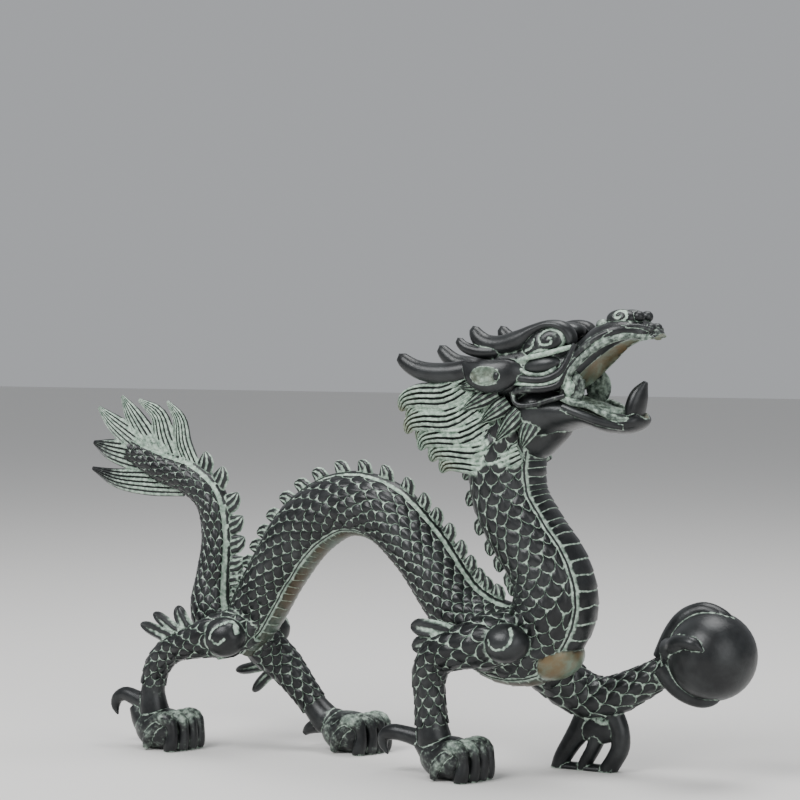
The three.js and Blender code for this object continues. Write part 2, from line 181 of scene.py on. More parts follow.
# The head's masses along its length: x, z, half-width, half-height.
SKULL = [
    (46, 198, 14, 12), (60, 203, 20, 16.5), (76, 205, HEAD_HALF_WIDTH - 1, 16.5), (90, 207.5, HEAD_HALF_WIDTH - 3, 15),
    (101, 207.5, 18.5, 12.5), (110, 212, LIP_HALF_WIDTH - 0.5, 9.6), (120, 221, LIP_HALF_WIDTH - 1, 8.5),
    (131, 225.5, 15, 6.5), (140, 224.4, 11.5, 5), (145, 222.6, 8.5, 4.4),
]
JAW = [
    (70, 188, 17, 14), (84, 185, 20.6, 15.6), (97, 185, LIP_HALF_WIDTH + 1, 10.5), (110, 184, LIP_HALF_WIDTH - 1, 6.5),
    (123, 180, 15, 5.6), (133, 180, 12, 5), (140, 184, 8, 4),
]
MOUTH = [
    (102, 196, 10, 1.2), (108, 199, 14, 5.4), (117, 202.5, 15.3, 12.6), (129, 203, 15, 19.6), (150, 203, 16, 21),
]
MOUTH_FLOOR = {"centre": (117, 0, 192.5), "radii": (19, 12.5, 7.5), "lean": -17}

# The mane's locks from the nape down: where they root and where they end, as x and z.
MANE_ROWS = 9
MANE_ROOTS = [(52, 200), (54, 188), (61, 180), (69, 171.5), (78, 164.5)]
MANE_TIPS = [(6.5, 185.5), (9.5, 174), (17, 165.6), (23, 160), (28.5, 154.4)]

# The row of pointed tufts behind the jaw: corners of their bases, and their tips, as x and z.
TUFT_CORNERS = [(57, 201.5), (55.9, 194.4), (65.1, 190.2), (71.1, 183.2), (79.6, 178.6), (88, 173.9)]
TUFT_TIPS = [(43.5, 196.2), (47.1, 185), (57.6, 178.7), (66.8, 170.3), (80.7, 166.8)]

# Spirals cut into the shoulder, the haunch, the brow and the nostril, as x and z.
SHOULDER_SPIRAL = [
    [(69.8, 72.1), (70.6, 69.7), (72.5, 68.1), (75.7, 67.5), (79.2, 68.9), (81.5, 71.8), (81.6, 75), (79.6, 78)],
]
HAUNCH_SPIRAL = [
    [(-89, 62.5), (-93.1, 59.4), (-98, 62.5), (-95.9, 67.8), (-88, 71.2), (-84.4, 65)],
]
BROW_SPIRAL = [
    [(95.4, 221.7), (97.6, 221.4), (96.8, 219), (92.2, 218.4), (90.3, 222.1), (94.3, 225.9), (100.1, 225),
     (102.8, 219.8), (99.6, 216), (89.1, 215), (79.5, 210.2)],
    [(82, 215), (86, 216.8), (87.5, 221)],
]
NOSTRIL_SPIRAL = [
    [(130.5, 232.6), (128.6, 231.4), (126.8, 233), (128.6, 235.2), (132.4, 234.4), (133.4, 231.6), (130, 229)],
]

FIN_LOBES = [
    {"points": [(-130, 149), (-137, 163), (-139, 176), (-147, 186)], "half": 6.2, "dark": 0.0},
    {"points": [(-142, 152), (-149, 166), (-153, 178), (-166, 186.5)], "half": 7.6, "dark": 0.0},
    {"points": [(-152, 154), (-163, 168), (-171, 179), (-177.5, 188.5)], "half": 7.5, "dark": 0.0},
    {"points": [(-156, 156), (-172, 166), (-184, 174), (-193.5, 182)], "half": 7.2, "dark": 0.0},
    {"points": [(-153, 153), (-172, 156), (-187, 159), (-197, 162.5)], "half": 8, "dark": 0.7},
    {"points": [(-136, 141), (-160, 141.5), (-182, 143), (-198, 148)], "half": 7.5, "dark": 0.8},
]
FIN_HALF_THICKNESS = 3.0


# ---------------------------------------------------------------- curves


def spline(rows, stations, even=False):
    """Points on a Catmull-Rom curve through rows, at stations counted in rows."""
    rows = np.asarray(rows, float)
    padded = np.vstack([2 * rows[0] - rows[1], rows, 2 * rows[-1] - rows[-2]])
    segment = np.clip(np.floor(stations).astype(int), 0, len(rows) - 2)
    weight = (stations - segment)[:, None]
    p0, p1, p2, p3 = (padded[segment + k] for k in range(4))
    if even:
        start, end = (p2 - p0) / 2, (p3 - p1) / 2
    else:
        steps = [np.maximum(np.linalg.norm(b - a, axis=1), 1e-6)[:, None] ** 0.5
                 for a, b in ((p0, p1), (p1, p2), (p2, p3))]
        d0, d1, d2 = steps
        start = d1 * ((p1 - p0) / d0 - (p2 - p0) / (d0 + d1) + (p2 - p1) / d1)
        end = d1 * ((p2 - p1) / d1 - (p3 - p1) / (d1 + d2) + (p3 - p2) / d2)
    square, cube = weight ** 2, weight ** 3
    return ((2 * cube - 3 * square + 1) * p1 + (cube - 2 * square + weight) * start
            + (3 * square - 2 * cube) * p2 + (cube - square) * end)


def unit(rows):
    """Rows scaled to length one."""
    return rows / np.maximum(np.linalg.norm(rows, axis=-1, keepdims=True), 1e-9)


class Path:
    """A centre line through stations of x, y, z, half-width across and half-height in the plane of its bend."""

    STEPS = 40

    def __init__(self, stations):
        rows = np.array([tuple(s) + (s[3],) * (5 - len(s)) for s in stations], float)
        marks = np.linspace(0, len(rows) - 1, self.STEPS * (len(rows) - 1) + 1)
        self.line = spline(rows[:, :3], marks)
        self.sizes = spline(rows[:, 3:], marks, even=True)
        gaps = np.linalg.norm(np.diff(self.line, axis=0), axis=1)
        self.reach = np.concatenate([[0], np.cumsum(gaps)])
        self.length = self.reach[-1]

    def at(self, reach):
        """Centre, tangent, across, upward and half-sizes at distances along the line, drawn out past its ends."""
        reach = np.asarray(reach, float)
        inside = np.clip(reach, 0, self.length)
        centre = np.stack([np.interp(inside, self.reach, self.line[:, k]) for k in range(3)], -1)
        sizes = np.stack([np.interp(inside, self.reach, self.sizes[:, k]) for k in range(2)], -1)
        step = self.length * 0.004
        ahead, behind = np.minimum(inside + step, self.length), np.maximum(inside - step, 0)
        tangent = unit(np.stack([
            np.interp(ahead, self.reach, self.line[:, k]) - np.interp(behind, self.reach, self.line[:, k])
            for k in range(3)], -1))
        centre = centre + tangent * (reach - inside)[..., None]
        y_axis = np.array([0.0, 1.0, 0.0])
        across = unit(y_axis - tangent * tangent[..., 1:2])
        upward = np.cross(across, tangent)
        return centre, tangent, across, upward, sizes


# ---------------------------------------------------------------- closed forms


class Form:
    """A closed surface: points in millimetres, faces, and how much of each finish its points take."""

    def __init__(self, points, faces, groove=0.0, dust=0.0, warmth=0.0):
        self.points = np.asarray(points, float)
        self.faces = faces
        count = len(self.points)
        self.finish = {
            name: np.broadcast_to(np.asarray(value, float), (count,)).copy()
            for name, value in (("groove", groove), ("dust", dust), ("warmth", warmth))
        }

    def as_object(self, name):
        """The form as a Blender object in metres, in the frame."""
        mesh = bpy.data.meshes.new(name)
        mesh.from_pydata(to_frame(self.points).tolist(), [], self.faces)
        for key, values in self.finish.items():
            attribute = mesh.attributes.new(key, "FLOAT", "POINT")
            attribute.data.foreach_set("value", (values + 1).astype(np.float32))
        turn_outwards(mesh)
        mesh.update()
        made = bpy.data.objects.new(name, mesh)
        return made


def turn_outwards(mesh):
    """Turns a closed mesh the right way out, because joining takes an inside-out one for a hollow."""
    work = bmesh.new()
    work.from_mesh(mesh)
    if work.calc_volume(signed=True) < 0:
        mesh.flip_normals()
    work.free()


def to_frame(points):
    """Modelling millimetres as metres in the CAD frame."""
    low = np.array(CAD_BOX[0])
    return (np.asarray(points, float) - np.array(DESIGN_LOW)) * MM + low


def ring_faces(rings, sides):
    """Faces of a tube of rings with a point at each end; the end points follow the rings."""
    ring, side = np.meshgrid(np.arange(rings - 1), np.arange(sides), indexing="ij")
    a = (ring * sides + side).ravel()
    b = (ring * sides + (side + 1) % sides).ravel()
    walls = np.stack([a, a + sides, b + sides, b], -1).tolist()
    first, last, start = rings * sides, rings * sides + 1, (rings - 1) * sides
    caps = [[first, s, (s + 1) % sides] for s in range(sides)]
    caps += [[last, start + (s + 1) % sides, start + s] for s in range(sides)]
    return walls + caps


def tube(grid, ends, groove=0.0, dust=0.0, warmth=0.0):
    """A form from a grid of rings of points, closed to the two end points."""
    rings, sides = grid.shape[:2]
    points = np.vstack([grid.reshape(-1, 3), np.asarray(ends, float)])
    flat = []
    for value in (groove, dust, warmth):
        full = np.broadcast_to(np.asarray(value, float), (rings, sides)).ravel()
        flat.append(np.concatenate([full, [full[0], full[-1]]]))
    return Form(points, ring_faces(rings, sides), *flat)


def section_grid(path, reach, angles, swell=0.0):
    """Points round a path: reach and angles are grids, angles from the upward side round by way of -across."""
    centre, _, across, upward, sizes = path.at(reach)
    cos, sin = np.cos(angles)[..., None], np.sin(angles)[..., None]
    swell = np.asarray(swell)[..., None] if np.ndim(swell) else swell
    return (centre + upward * cos * (sizes[..., 1:2] + swell) - across * sin * (sizes[..., 0:1] + swell))


def plain_tube(stations, sides=20, rings=24, domed=False, swell=None, **finish):
    """A smooth tube along stations, with an optional swell of its skin by share of length and angle."""
    path = Path(stations)
    shares = np.linspace(0, 1, rings + 1)
    reach, angles = np.meshgrid(shares * path.length, np.linspace(0, 2 * np.pi, sides, endpoint=False), indexing="ij")
    grid = section_grid(path, reach, angles, swell(shares[:, None], angles) if swell else 0.0)
    if domed:
        centre, _, _, _, sizes = path.at(reach)
        edge = np.minimum(reach, path.length - reach) / np.maximum(sizes[..., 1], 1)
        dome = np.where(edge < 1, np.sqrt(np.clip(1 - (1 - edge) ** 2, 0.0004, 1)), 1)
        grid = centre + (grid - centre) * dome[..., None]
    ends = path.at(np.array([0.0, path.length]))[0]
    return tube(grid, ends, **finish)


def ellipsoid(centre, radii, lean=0.0, sides=32, rings=20, swell=None, **finish):
    """An egg about a centre, leaning about the Y axis by some degrees, with its poles across the body."""
    polar = np.linspace(0, np.pi, rings + 2)[1:-1]
    theta, phi = np.meshgrid(polar, np.linspace(0, 2 * np.pi, sides, endpoint=False), indexing="ij")
    shape = np.stack([np.sin(theta) * np.cos(phi), -np.cos(theta), np.sin(theta) * np.sin(phi)], -1)
    size = 1 + (swell(theta, phi)[..., None] if swell else 0)
    turn = math.radians(lean)
    matrix = np.array([[math.cos(turn), 0, -math.sin(turn)], [0, 1, 0], [math.sin(turn), 0, math.cos(turn)]])
    place = lambda rows: (rows * np.array(radii)) @ matrix.T + np.array(centre)
    ends = place(np.array([[0, -1.0, 0], [0, 1.0, 0]]) * (1 if swell is None else size[[0, -1], 0]))
    return tube(place(shape * size), ends, **finish)


def lock(stations, grooves=4, depth=0.32, rings=16, per_groove=3, dust=0.35, tip_dark=0.0, warm_tip=0.0,
         blunt=0.0, pale_ridges=False):
    """A flat lock of hair: a leaf-shaped sweep whose two faces are combed into grooves along it."""
    path = Path(stations)
    half = grooves * per_groove
    across_share = np.linspace(-1, 1, half + 1)
    comb = 0.5 + 0.5 * np.cos(np.pi * grooves * (across_share + 1))
    rounding = np.sqrt(np.clip(1 - across_share ** 2, 0, 1))
    face = rounding * (1 - depth * comb)
    profile = np.concatenate([face[:-1], -face[::-1][:-1]])
    spread = np.concatenate([across_share[:-1], across_share[::-1][:-1]])
    valley = np.concatenate([comb[:-1], comb[::-1][:-1]])
    share = 1 - (1 - np.linspace(0, 1, rings + 1)) ** (1.6 if blunt else 1.0)
    reach = share * path.length
    centre, _, across, upward, sizes = path.at(reach)
    if blunt:
        past = np.clip((share - 1 + blunt) / blunt, 0, 1)
        sizes = sizes * np.sqrt(1 - 0.97 * past ** 2)[:, None]
    grid = (centre[:, None] + upward[:, None] * spread[None, :, None] * sizes[:, None, 1:2]
            + across[:, None] * profile[None, :, None] * sizes[:, None, 0:1])
    share = share[:, None]
    filled = 1 - valley ** 2 if pale_ridges else valley ** 0.8
    groove = filled[None, :] * (1 - tip_dark * np.clip(share * 1.6 - 0.75, 0, 1))
    warmth = np.broadcast_to(warm_tip * np.clip(share * 2.4 - 1.5, 0, 1), groove.shape)
    return tube(grid[:, ::-1], centre[[0, -1]], groove=groove[:, ::-1], warmth=warmth,
                dust=dust * (1 - tip_dark * share))


def carve(form, lines, side, width=0.8, depth=0.5):
    """Cuts lines, given as rows of x and z, into a form's outer side, and lets the patina settle in them."""
    track = np.vstack([
        spline([(x, 0, z) for x, z in line], np.linspace(0, len(line) - 1, 20 * len(line)))[:, (0, 2)]
        for line in lines
    ])
    gap = np.min(np.linalg.norm(form.points[:, None, (0, 2)] - track[None], axis=2), axis=1)
    middle = form.points.mean(axis=0)
    outer = (form.points[:, 1] - middle[1]) * side > 0
    cut = np.exp(-(gap / width) ** 2) * outer
    form.points += unit(middle - form.points) * (depth * cut)[:, None]
    form.finish["groove"] = np.maximum(form.finish["groove"], np.clip(cut * 1.3, 0, 1))
    return form


def mirrored(make):
    """What make builds for the right side and for the left."""
    return make(-1) + make(1)


# ---------------------------------------------------------------- scales


EVEN_COLUMNS = (0.0, 0.067, 0.25, 0.5, 0.75, 0.933)
ODD_COLUMNS = (0.0, 0.25, 0.433, 0.5, 0.567, 0.75)
ACROSS_A_ROW = (0.0, 0.14, 0.9)
ROW_HEIGHTS = (0.0, 0.5, 1.0)
EDGE_DEPTH = 0.92


def scale_columns(count, odd):
    """Places of the columns round a band of scales, in scale widths."""
    pattern = np.array(ODD_COLUMNS if odd else EVEN_COLUMNS)
    places = (np.arange(math.ceil(count))[:, None] + pattern[None, :]).ravel()
    return places[places < count - 1e-6]


def free_edge(places, odd):
    """How far the rounded free edge of a scale reaches past its corners, from 0 to 1."""
    inside = (places + (0.5 if odd else 0.0)) % 1.0
    return np.sqrt(np.clip(1 - (2 * inside - 1) ** 2, 0, 1))


def row_starts(length, pitches):
    """Distances at which rows begin, as the pitch changes from one end of the length to the other."""
    starts = [-pitches[0]]
    while starts[-1] < length:
        share = min(max(starts[-1] / length, 0), 1)
        starts.append(starts[-1] + pitches[0] + (pitches[1] - pitches[0]) * share)
    return np.array(starts + [starts[-1] + pitches[1]])


def scale_rows(columns_of, edge_of, starts):
    """Grids of reach, column place, relief and groove over staggered rows of scales."""
    reach, place, relief, groove = [], [], [], []
    for row in range(len(starts) - 2):
        here, after = row % 2, (row + 1) % 2
        pitch, following = np.diff(starts[row:row + 3])
        upper = starts[row] + pitch * EDGE_DEPTH * edge_of(here)
        lower = starts[row + 1] + following * EDGE_DEPTH * edge_of(after)
        body = np.clip(((lower - upper) / pitch - 0.12) / 0.5, 0, 1)
        for t, height in zip(ACROSS_A_ROW, ROW_HEIGHTS):
            reach.append(upper + (lower - upper) * t)
            place.append(columns_of(here) * (1 - t) + columns_of(after) * t)
            relief.append(height * body)
            groove.append(1 - body if t > 0 else np.ones_like(body))
    return tuple(np.array(grid) for grid in (reach, place, relief, groove))


def hand_cut(reach, angle):
    """The same grid as a hand would cut it: rows that waver and scales that aren't all alike."""
    waver = 0.45 * np.sin(angle * 3 + reach * 0.13) + 0.3 * np.sin(reach * 0.41 + angle * 5)
    drift = 0.022 * np.sin(reach * 0.33 + angle * 4) + 0.014 * np.sin(reach * 0.9 + angle * 2)
    return reach + waver, angle + drift * np.sin(angle) ** 2


def scaled_trunk(stretch, scale_relief, belly_relief):
    """A stretch of trunk: a grooved ridge, bands of fish scales, and a bordered belly of cross plates."""
    path = Path([(x, 0, z, radius) for x, z, radius in stretch["line"]])
    count = stretch["per_side"]
    girth = float(np.mean(path.sizes))
    edge, first = RIDGE_HALF_WIDTH / girth, (RIDGE_HALF_WIDTH + RIDGE_GROOVE_WIDTH) / girth
    last = math.pi - math.radians(BELLY_HALF_ANGLE)
    border = last + math.radians(BELLY_BORDER_ANGLE)
    ridge = [0.0, edge * 0.6, edge]
    belly_step = (math.pi - border) / 4
    belly = [last, last + 0.5 * (border - last), border] + [border + belly_step * k for k in (1, 2.5, 4)]

    def columns(odd):
        """Angles of one side's columns, from the ridge to the middle of the belly."""
        scales = scale_columns(count, odd) / count * (last - first) + first
        return np.concatenate([ridge, scales, belly])

    def edges(odd):
        """Free-edge reach of one side's columns; the ridge and the belly plates are cut straight."""
        scales = free_edge(scale_columns(count, odd), odd)
        return np.concatenate([[0.5] * len(ridge), scales, [0.5] * len(belly)])

    starts = row_starts(path.length, stretch["pitch"])
    reach, angle, relief, groove = scale_rows(columns, edges, starts)
    top, under = len(ridge), -len(belly)
    height = relief * scale_relief
    height[:, :top] = (1.1, 0.9, -0.25)
    height[:, top] = -0.1
    height[:, under:] = relief[:, under:] * belly_relief
    height[:, under:under + 3] = (-0.2, 0.4, -0.2)
    groove[:, :top] = (0, 0, 1)
    groove[:, top] = 1
    groove[:, under:under + 3] = (1, 0, 1)
    warmth = np.zeros_like(relief)
    warmth[:, under + 3:] = stretch["belly_warmth"]
    reach, angle = hand_cut(reach, angle)
    both = lambda grid, sign=1: np.concatenate([grid, sign * grid[:, -2:0:-1]], axis=1)
    grid = section_grid(path, both(reach), both(angle, -1), both(height))
    ends = path.at(np.array([starts[0] - 2.0, starts[-2] + 1.0]))[0]
    return tube(grid, ends, groove=both(groove), dust=0.04, warmth=both(warmth))


def scaled_limb(spec, scale_relief):
    """A limb scaled all round, with rows that stop at the ankle."""
    path = Path(spec["line"])
    width, pitch = spec["scale"]
    count = max(5, round(2 * np.pi * float(np.mean(path.sizes)) / width))
    columns = lambda odd: scale_columns(count, odd) / count * 2 * np.pi
    edges = lambda odd: free_edge(scale_columns(count, odd), odd)
    starts = row_starts(ankle_reach(path, spec["ankle"]) - 2 * pitch, (pitch, pitch))
    reach, angle, relief, groove = scale_rows(columns, edges, starts)
    reach, angle = hand_cut(reach, angle)
    grid = section_grid(path, reach, angle, relief * scale_relief)
    ends = path.at(np.array([starts[0] - 1.0, starts[-2] + pitch * 1.4]))[0]
    return tube(grid, ends, groove=groove, dust=0.05)


def ankle_reach(path, level):
    """How far down the limb its scales end: where it comes down to a level, or short of its end."""
    if level is None:
        return path.length - 6.0
    below = path.line[:, 2] < level
    return float(path.reach[np.argmax(below)]) if below.any() else path.length


def ankle(spec):
    """The smooth ankle that flares from the last scales into the foot."""
    path = Path(spec["line"])
    start = ankle_reach(path, spec["ankle"])
    stations = []
    for share, swell in ((-0.9, 0.8), (-0.1, 0.97), (0.3, 1.02), (0.7, 1.08), (1.0, 1.0)):
        reach = start + (path.length - start) * share
        centre, _, _, _, sizes = (part[0] for part in path.at(np.array([reach])))
        stations.append((*centre, sizes[0] * swell))
    return plain_tube(stations, sides=20, rings=12, domed=True, dust=0.2)


def spine_leaves(stretch, height):
    """The leaves down a stretch of the spine: blunt combed hoods that lean a little towards the tail."""
    path = Path([(x, 0, z, radius) for x, z, radius in stretch["line"]])
    first, last = stretch["leaves"]
    rise = height * stretch["leaf_share"]
    wide = 0.9 + 0.35 * (stretch["leaf_share"] - 0.95)
    leaves = []
    for reach in np.arange(first, last, LEAF_SPACING):
        centre, tangent, _, upward, sizes = (part[0] for part in path.at(np.array([reach])))
        stations = []
        for up, run, thick, half in ((-3, -1.6, 2.8, 5.2), (rise * 0.35, -0.6, 2.5, 5.2), (rise * 0.72, 1.2, 2.1, 4.5),
                                     (rise * 0.98, 3.4, 1.6, 3.2)):
            place = centre + upward * (sizes[1] + up) + tangent * run
            stations.append((place[0], 0, place[2], thick, wide * half))
        leaves.append(lock(stations, grooves=3, depth=0.42, rings=5, blunt=0.5, dust=0.05))
    return leaves


# ---------------------------------------------------------------- limbs


def foot(spec):
    """A clenched foot: a palm that flares from the ankle, four knuckled toes that curl to the ground, and a spur."""
    x, y = spec["x"], spec["y"]
    root_z = spec["spur"][0][1]
    forms = [
        plain_tube([
            (x - 10, y, 8, 8, 8), (x - 4, y, 9.5, 10.6, 10.5), (x + 4, y, 10.5, 12, 11), (x + 12, y, 10, 12.4, 10.6),
            (x + 20, y, 8.6, 12, 8.6),
        ], sides=26, rings=18, domed=True, dust=0.34),
        plain_tube([
            (x - 12, y, root_z - 0.5, 4), (x - 6, y, 15, 7.6), (x, y, 11.5, 9.6), (x + 5, y, 10, 8),
        ], sides=20, rings=10, dust=0.16),
        plain_tube([
            (x + 15, y - 8, 17, 2.6), (x + 9.5, y - 10.2, 13, 3), (x + 4, y - 10.8, 7, 3),
            (x + 2, y - 10.2, 1, 1.8),
        ], sides=12, rings=10, dust=0.42),
    ]
    for order, front in enumerate((18.0, 21.0, 22.5, 22.8)):
        toe_y = y - 9.0 + order * 6.1
        knuckled = lambda share, _: 0.5 * np.cos((share - 0.38) * 4 * np.pi)
        along_toe = np.linspace(0, 1, 17)[:, None]
        pale_knuckle = 0.24 + 0.42 * np.exp(-((along_toe - 0.34) / 0.2) ** 2)
        forms.append(plain_tube([
            (x + front - 15, toe_y, 12.5, TOE_RADIUS), (x + front - 8.5, toe_y, 17.2, TOE_RADIUS * 1.04),
            (x + front - 1.4, toe_y, 16, TOE_RADIUS), (x + front + 0.6, toe_y, 10, TOE_RADIUS * 0.96),
            (x + front - 0.4, toe_y, 4, TOE_RADIUS), (x + front - 2, toe_y, -1.5, TOE_RADIUS * 0.8),
        ], sides=12, rings=16, swell=knuckled, dust=pale_knuckle))
    forms.append(plain_tube([(s[0], y, s[1], s[2]) for s in spec["spur"]], sides=14, rings=18, dust=0.14))
    return forms


def tuft(prongs, y, thick=4.4):
    """Blunt flame-like hairs at a joint: each prong is a row of x, z and half-width."""
    forms = []
    for order, prong in enumerate(prongs):
        lean = (order - (len(prongs) - 1) / 2) * 2.2
        stations = [(x, y + lean, z, thick * (1 - 0.12 * step), half) for step, (x, z, half) in enumerate(prong)]
        forms.append(lock(stations, grooves=2, depth=0.36, rings=9, per_groove=4, blunt=0.22, dust=0.05,
                          tip_dark=0.8))
    return forms


def joint_tufts():
    """The tufts behind the front elbow and at the two haunches."""
    forms = tuft([
        [(45, 72, 5.6), (37, 74, 5.4), (29, 75.2, 4.8), (22, 75.8, 4)],
        [(43, 68.5, 5), (35, 68, 5.2), (28, 66.4, 5), (21.6, 64.4, 4.4)],
    ], FRONT_LEG_Y, thick=5)
    forms += tuft([
        [(-119, 57, 4.6), (-130, 60.5, 4.1), (-139, 63.4, 3.7), (-148, 66.4, 3)],
        [(-118, 59, 4.6), (-127, 63.7, 4.1), (-134.4, 68.4, 3.7), (-141, 72.4, 3)],
        [(-116, 60, 5), (-121.5, 66.2, 4.8), (-124.8, 71.4, 4.5), (-126.6, 77, 3.7)],
    ], NEAR_REAR_LEG_Y, thick=4)
    forms += tuft([
        [(-88, 46, 4.4), (-97, 42.5, 3.5), (-106, 40, 3.1), (-114.4, 38.4, 2.6)],
        [(-87, 42, 4.4), (-94, 37.5, 3.4), (-100, 32, 3.1), (-104.6, 27, 2.4)],
    ], FAR_REAR_LEG_Y, thick=3.8)
    return forms


def bosses():
    """The smooth muscles of the shoulders and haunches, each with a spiral cut into it."""
    forms = []
    for lines, centre, radii, out in (
            (SHOULDER_SPIRAL, (74.6, 70), (12.4, 11, 10), 24.2), (HAUNCH_SPIRAL, (-95.3, 62.3), (12.2, 10, 10.6), 22.0)):
        for side in (-1, 1):
            egg = ellipsoid((centre[0], side * out, centre[1]), radii, sides=44, rings=24, dust=0.03)
            forms.append(carve(egg, lines, side, width=0.75, depth=0.6))
    return forms


def limbs(scale_relief):
    """The scaled limbs, ankles, feet, bosses and tufts."""
    forms = [scaled_limb(spec, scale_relief) for spec in LIMBS.values()]
    forms += [ankle(spec) for spec in LIMBS.values() if spec["ankle"]]
    for spec in FEET:
        forms += foot(spec)
    return forms + bosses() + joint_tufts()


def elbow_tuft():
    """The tuft of the raised elbow: a broad plate with two slots, whose prongs curl down to the ground."""
    prongs = [
        [(95, 33, 7), (89, 21, 6.4), (83.5, 13, 5.2), (78.5, 5, 4.6), (76, -1, 4)],
        [(100, 32, 6), (99, 20, 5), (96, 11, 3.7), (92, 4, 3.5), (90, -1, 3.4)],
        [(105, 33, 6), (110.5, 22, 5.2), (111.2, 13, 4.9), (107.5, 5.5, 4.6), (103, -1, 4.6)],
    ]
    forms = [
        plain_tube([(x, ARM_Y, z, 5, half) for x, z, half in prong], sides=16, rings=16, dust=0.02)
        for prong in prongs
    ]
    forms.append(plain_tube([(77, ARM_Y, 0.6, 4.2, 2.6), (92, ARM_Y, 0.6, 4.6, 2.6), (108, ARM_Y, 0.6, 4.2, 2.6)],
                            sides=14, rings=8, dust=0.04))
    forms.append(ellipsoid((99, ARM_Y, 22), (13, 5.6, 8.5), sides=26, rings=12, dust=0.05))
    ring = [(106.5, 26, 1), (103.4, 25.2, 1), (101, 26.4, 1), (103.4, 28, 1)]
    forms.append(plain_tube([(x, ARM_Y - 4.6 - k * 0.15, z, r) for k, (x, z, r) in enumerate(ring)],
                            sides=8, rings=10, groove=1))
    return forms


def pearl():
    """The pearl, the hand that holds it, and three clawed fingers over, under and beside it."""
    x, y, z = PEARL_CENTRE
    forms = [
        ellipsoid(PEARL_CENTRE, (PEARL_RADIUS,) * 3, sides=40, rings=24),
        ellipsoid((144.5, y, 61), (10, 11, 12.5), lean=25, sides=26, rings=14),
        plain_tube([
            (137, y, 60, 7), (140.5, y, 71, 6.6), (145.5, y, 78.5, 5.6), (151, y, 83, 5.2), (157.5, y, 85, 5.2),
            (165, y, 83, 4.2), (171.5, y, 79.2, 3), (176, y, 75, 1),
        ], sides=18, rings=32, swell=lambda share, _: 0.4 * np.cos(share * 5 * np.pi)),
        plain_tube([
            (138, y - 4, 56, 7), (145, y - 5, 47.5, 5.8), (151.5, y - 5, 43.3, 5), (158, y - 5, 41.4, 4.2),
            (164.5, y - 5, 42.3, 3), (169.5, y - 5, 45.4, 0.6),
        ], sides=14, rings=22),
        plain_tube([
            (143, y - 9, 66, 6), (149, y - 16, 69.5, 4.6), (155, y - 20, 71.5, 3.8), (161, y - 21.6, 70.8, 3),
            (165.8, y - 21.8, 68, 0.8),
        ], sides=14, rings=18, swell=lambda share, _: 0.3 * np.cos(share * 5 * np.pi)),
        plain_tube([
            (143, y + 8.5, 66, 5.6), (149, y + 15, 69.5, 4.4), (156, y + 18.8, 71, 3.4), (165.4, y + 19, 68, 0.8),
        ], sides=12, rings=14),
    ]
    return forms


# ---------------------------------------------------------------- tail fin and mane


def tail_fin():
    """The flame fin that ends the tail: combed lobes over a web."""
    forms = [ellipsoid((-156, 0, 156), (18, FIN_HALF_THICKNESS, 12), lean=-25, dust=0.9, groove=0.6)]
    for lobe in FIN_LOBES:
        stations = [
            (x, 0, z, FIN_HALF_THICKNESS * thin, lobe["half"] * taper)
            for (x, z), taper, thin in zip(lobe["points"], (0.9, 1, 0.72, 0.14), (1, 1, 0.8, 0.3))
        ]
        forms.append(lock(stations, grooves=6, depth=0.42, rings=14, dust=0.2, tip_dark=lobe["dark"],
                          pale_ridges=True))
    return forms


def along(row, share):
    """The point at a share of the way along a row of x and z."""
    rows = np.array([(x, 0, z) for x, z in row], float)
    return spline(rows, np.array([share * (len(rows) - 1)]))[0]


def mane():
    """The mane: full overlapping combed locks on each side with rolled tips, over a core."""
    forms = [plain_tube([
        (66, 0, 186, 17, 19), (48, 0, 180, 17, 19.5), (32, 0, 176, 13, 16), (20, 0, 174, 6, 9),
    ], sides=24, rings=12, dust=0.5, groove=0.5)]
    for row in range(MANE_ROWS):
        share = row / (MANE_ROWS - 1)
        root, tip = along(MANE_ROOTS, share), along(MANE_TIPS, share)
        under = row % 2

        def at(part, bend, y, thick, wide):
            """A station part of the way from the root to the tip, bent down or up from the straight."""
            x = root[0] + (tip[0] - root[0]) * part + under * 2.5 * part
            return (x, y, root[2] + (tip[2] - root[2]) * part + bend, thick, wide)

        def pair(side):
            """One lock on one side; every other lock lies a little under its neighbours."""
            out = 18.5 - 3 * share - 1.6 * under
            return [lock([
                at(0, 0, side * (out - 0.8), 3.6, 5.4), at(0.3, -2.8, side * (out + 0.4), 4.4, 6.8),
                at(0.68, 1.8 + under, side * (out - 1.8), 4.6, 6.4), at(0.9, 2.4, side * (out - 5.5), 4.0, 4.6),
                at(1, -1.6, side * (out - 8), 3.2, 3.4),
            ], grooves=5, depth=0.42, rings=14, dust=0.2, warm_tip=0.75, blunt=0.16, pale_ridges=True)]

        forms += mirrored(pair)
    return forms


# ---------------------------------------------------------------- head


